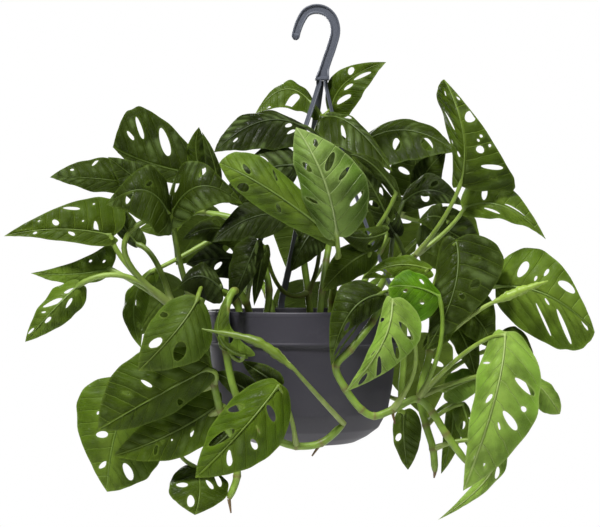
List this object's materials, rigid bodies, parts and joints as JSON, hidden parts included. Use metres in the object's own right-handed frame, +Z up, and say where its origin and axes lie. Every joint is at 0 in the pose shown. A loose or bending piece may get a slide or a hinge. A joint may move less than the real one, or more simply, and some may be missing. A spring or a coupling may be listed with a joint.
{
  "type": "monstera adansonii in a hanging pot",
  "caption": "Monstera adansonii, a trailing house plant with holed leaves, growing in a round nursery pot that hangs from a plastic hook on straps.",
  "frame": {"origin": "inner saddle of the hook, the point that bears on the rod it hangs from", "axes": "+Z up, +X to the right of the front view across the plant's widest spread, +Y to the back"},
  "size_m": [0.5671, 0.3546, 0.5004],
  "materials": {
    "pot": "moulded satin plastic, dark slate grey",
    "soil": "loose peat and bark chips",
    "hanger": "moulded satin plastic, grey",
    "leaf": "waxy leaf with a soft gloss"
  },
  "bodies": {
    "root": {"pot": "pot", "soil": "soil", "hook": "hanger", "strap_1": "hanger", "strap_2": "hanger", "strap_3": "hanger", "stem_crown": "leaf", "stem_left_high": "leaf", "stem_left": "leaf", "stem_left_low": "leaf", "stem_front": "leaf", "stem_centre": "leaf", "stem_right_front": "leaf", "stem_right": "leaf", "stem_right_high": "leaf", "stem_back_right": "leaf", "stem_rear_left": "leaf", "stem_rear": "leaf", "stem_rear_right": "leaf"}
  },
  "joints": []
}
